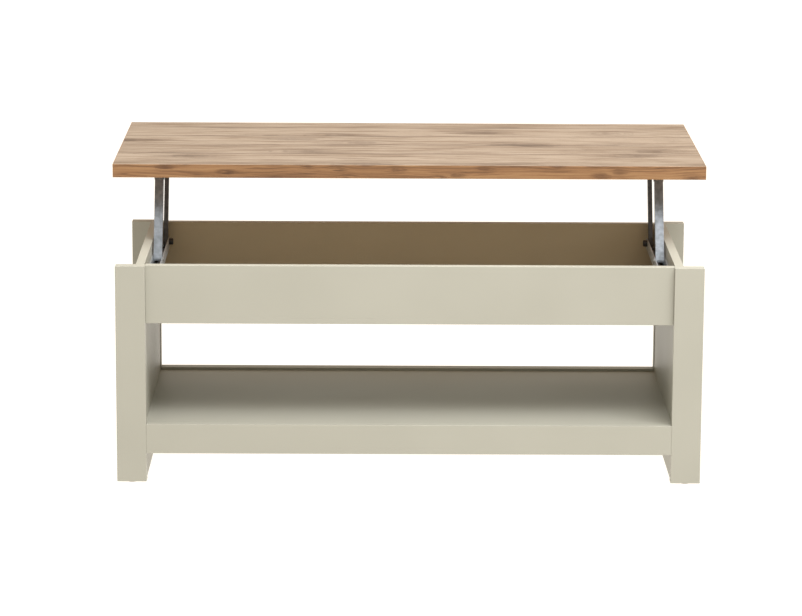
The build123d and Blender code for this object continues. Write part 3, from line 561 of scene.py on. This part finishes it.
bracket_steel = plated_steel("zinc_plated_pressed_bracket", ("#a3a8ac", "#b6babd"), 0.50, FILMED)
near_arm_steel = plated_steel("zinc_plated_pressed_arm", ("#71767b", "#858a90"), 0.52, FILMED)
# the far arms' darker tones are painted shade: the same plated steel as the near arms, darkened
# because they stand behind in the top's shadow
far_arm_steel_with_painted_shade = plated_steel("zinc_plated_arm_with_painted_shade", ("#4b4d4f", "#5a5c5f"), 0.58, FILMED)
for side in SIDES:
    paint(bracket_steel, f"{side}_base_bracket", f"{side}_top_bracket")
    paint(near_arm_steel, f"{side}_near_arm")
    paint(far_arm_steel_with_painted_shade, f"{side}_far_arm")

rivets = [f"{place}_rivets" for place in ("near_pivot", "far_pivot", "near_top", "far_top")]
turned_steel = plated_steel("zinc_plated_turned_steel", ("#8f8f90", "#a8a8a8"), 0.34)
paint(turned_steel, *rivets, "spring_hook_pins", "spring_lever_pins")
screw_steel = plated_steel("yellow_passivated_screw_steel", ("#a89b74", "#c2b48c"), 0.36)
paint(screw_steel, "bracket_screws", "top_screws", "cam_bolts")
paint(plated_steel("die_cast_zinc_alloy", ("#8a8b8d", "#9c9d9f"), 0.5), "cam_locks")

# %% [markdown]
# Small moulded parts: the black nylon caps on the far pivots, the grey polyethylene glides under the
# legs and the clear soft bumpers under the top. Moulded plastic has a fine even spark-eroded grain
# that breaks its highlight. One recipe serves all three, with the grain size and gloss of each.

# %% Moulded plastics
MOULD_GRAIN = 0.5  # mm
GRAIN_DEPTH = 0.05  # mm
GRAIN_GLOSS = 0.08  # how far the grain raises and lowers the roughness


def moulded(name, hex_value, roughness, ior):
    """Moulded plastic with a fine, even grain."""
    material, tree, shader = finish(name, **{"Base Color": colour(hex_value), "IOR": ior})
    place = add(tree, "TexCoord").outputs["Object"]
    mould = add(tree, "TexNoise", place, Scale=1 / (MOULD_GRAIN * MM), Detail=2)
    bump = add(tree, "Bump", Strength=0.3, Distance=GRAIN_DEPTH * MM, Height=mould)
    glossy, matt = roughness - GRAIN_GLOSS, roughness + GRAIN_GLOSS
    rough = add(tree, "MapRange", mould, 0.0, 1.0, glossy, matt)
    feed(tree, shader, {"Roughness": rough, "Normal": bump})
    return material


paint(moulded("moulded_black_nylon", "#1f1c1a", 0.5, 1.53), "pivot_caps")
paint(moulded("moulded_grey_polyethylene", "#c4c0b6", 0.55, 1.5), "foot_glides")
paint(moulded("soft_clear_bumper", "#c9c7bf", 0.4, 1.45), "lid_bumpers")

# %% [markdown]
# The dowels are turned from beech, which is pale and close-grained, with short flecks. They are
# hidden once the table is together, so a simple fleck pattern at its real size is enough.

# %% Beech dowels
FLECKS = 900  # to the metre, so about one a millimetre


def beech():
    """Turned beech with short flecks."""
    material, tree, shader = finish("turned_beech_dowel", IOR=1.5, Roughness=0.6)
    place = add(tree, "TexCoord").outputs["Object"]
    flecks = add(tree, "TexNoise", place, Scale=FLECKS, Detail=3)
    feed(tree, shader, {"Base Color": two_tones(tree, flecks, ("#b98f62", "#d5b083"))})
    return material


paint(beech(), "rail_dowels", "panel_dowels", "shelf_dowels")

# %% [markdown]
# The lift springs are coiled from oiled spring wire, close wound, with an eye at each end round its
# pin. The frame holds only the outer shape of each coil. A bevelled curve along a helix gives the
# turns; a screw modifier would too, but a curve also carries on into the two eyes.

# %% Spring line
WIRE = 1.6 * MM
COIL_RADIUS = 4 * MM - WIRE / 2
PITCH = 1.75 * MM
EYE_RADIUS = 3.6 * MM
LEAD = 9 * MM  # from a pin to the first coil
EYE_TURN = math.radians(330)  # an eye stays a little open
EYE_START = math.radians(30)
STEPS_A_TURN = 14


def middle(name):
    """The middle of a node's box."""
    low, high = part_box(name)
    return (low + high) / 2


def spring_points(side):
    """Centre line of one spring, from the eye at its fixed pin to the eye at the arm's lever."""
    across = Vector((1, 0, 0))
    hook, lever = middle("spring_hook_pins"), middle("spring_lever_pins")
    hook.x = lever.x = middle(f"{side}_lift_spring").x
    way = (lever - hook).normalized()
    up = across.cross(way)
    eye_angles = [EYE_TURN * step / STEPS_A_TURN for step in range(STEPS_A_TURN)]
    points = []
    for angle in eye_angles:
        open_at = angle + EYE_START
        points.append(hook + EYE_RADIUS * (way * math.cos(open_at) + up * math.sin(open_at)))
    length = (lever - hook).length - 2 * LEAD
    steps = int(length / PITCH) * STEPS_A_TURN
    for step in range(steps + 1):
        angle = 2 * math.pi * step / STEPS_A_TURN
        around = across * math.cos(angle) + up * math.sin(angle)
        points.append(hook + way * (LEAD + length * step / steps) + around * COIL_RADIUS)
    for angle in eye_angles:
        points.append(lever + EYE_RADIUS * (up * math.sin(angle) - way * math.cos(angle)))
    return points


print("left spring line:", len(spring_points("left")), "points")

# %% [markdown]
# A curve with a round bevel is the wire. It is turned into a mesh.


def wire_piece(name, points, radius):
    """A round wire along a list of points, as a mesh."""
    curve = bpy.data.curves.new(name, "CURVE")
    curve.dimensions = "3D"
    curve.bevel_depth = radius
    curve.bevel_resolution = 2
    curve.use_fill_caps = True
    spline = curve.splines.new("POLY")
    spline.points.add(len(points) - 1)
    for spot, point in zip(spline.points, points):
        spot.co = (*point, 1)
    drawn = bpy.data.objects.new(name + "_line", curve)
    bpy.context.scene.collection.objects.link(drawn)
    bpy.context.view_layer.update()
    mesh = bpy.data.meshes.new_from_object(drawn)
    bpy.data.objects.remove(drawn)
    piece = bpy.data.objects.new(name, mesh)
    bpy.context.scene.collection.objects.link(piece)
    for face in mesh.polygons:
        face.use_smooth = True
    return piece


spring_wire = plated_steel("oiled_spring_wire", ("#5b5a58", "#77756f"), 0.32)
for side in SIDES:
    points = spring_points(side)
    coil = wire_piece(f"{side}_coiled_spring", points, WIRE / 2)
    coil.data.materials.append(spring_wire)
    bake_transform(coil)
    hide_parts(f"{side}_lift_spring")
    print(coil.name, len(coil.data.polygons), "faces")
